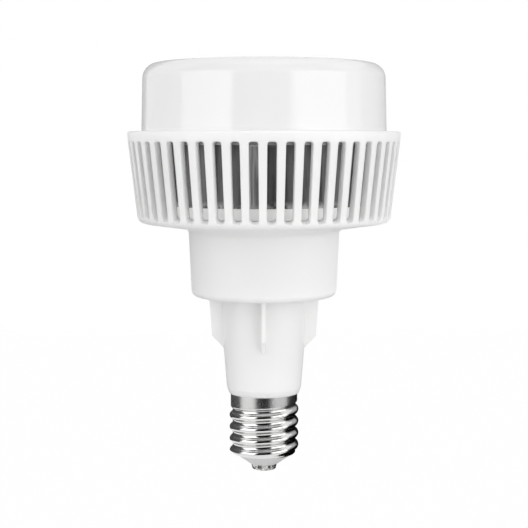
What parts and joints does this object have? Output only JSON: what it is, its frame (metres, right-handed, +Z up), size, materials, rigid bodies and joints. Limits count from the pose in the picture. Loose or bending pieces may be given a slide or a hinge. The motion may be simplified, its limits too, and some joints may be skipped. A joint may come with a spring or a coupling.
{
  "type": "led street light bulb",
  "caption": "LED street lamp bulb with an opal drum diffuser, a white slotted housing with a ribbed neck, an inner aluminium heat sink and a screw cap.",
  "frame": {"origin": "centre of the lower face of the cap's centre contact, on the lamp axis", "axes": "+Z up the lamp axis from the screw cap to the diffuser, -Y towards the front, where a bar of the vent cage is centred, +X to the right"},
  "size_m": [0.1522, 0.1522, 0.2297],
  "materials": {
    "white_plastic": "moulded white plastic, low gloss",
    "opal_polycarbonate": "smooth opal polycarbonate",
    "satin_aluminium": "drawn, satin",
    "board_white": "white solder mask on metal core",
    "led_phosphor": "phosphor-filled resin",
    "zinc_steel": "zinc plated",
    "board_green": "solder mask",
    "capacitor_sleeve": "shrink sleeve",
    "ferrite": "sintered, matt",
    "winding_tape": "taped copper winding",
    "copper_enamel": "enamelled copper wire on a ring core",
    "film_box": "box case",
    "black_epoxy": "moulded",
    "red_insulation": "silicone sleeve",
    "black_insulation": "silicone sleeve",
    "nickel_plated_brass": "bright nickel plate",
    "grey_insulator": "moulded insulating compound"
  },
  "bodies": {
    "root": {"vent_housing": "white_plastic", "diffuser_cover": "opal_polycarbonate", "heat_sink": "satin_aluminium", "driver_cover": "white_plastic", "led_board": "board_white", "led_packages": "led_phosphor", "board_screws": "zinc_steel", "heat_sink_screws": "zinc_steel", "cover_screws": "zinc_steel", "board_terminal": "white_plastic", "driver_board": "board_green", "bulk_capacitors": "capacitor_sleeve", "transformer_core": "ferrite", "transformer_winding": "winding_tape", "line_choke": "copper_enamel", "film_capacitor": "film_box", "bridge_rectifier": "black_epoxy", "switching_transistor": "black_epoxy", "input_fuse": "black_epoxy", "live_wire": "red_insulation", "neutral_wire": "black_insulation", "positive_lead": "red_insulation", "negative_lead": "black_insulation", "screw_shell": "nickel_plated_brass", "cap_insulator": "grey_insulator", "centre_contact": "nickel_plated_brass"}
  },
  "joints": []
}
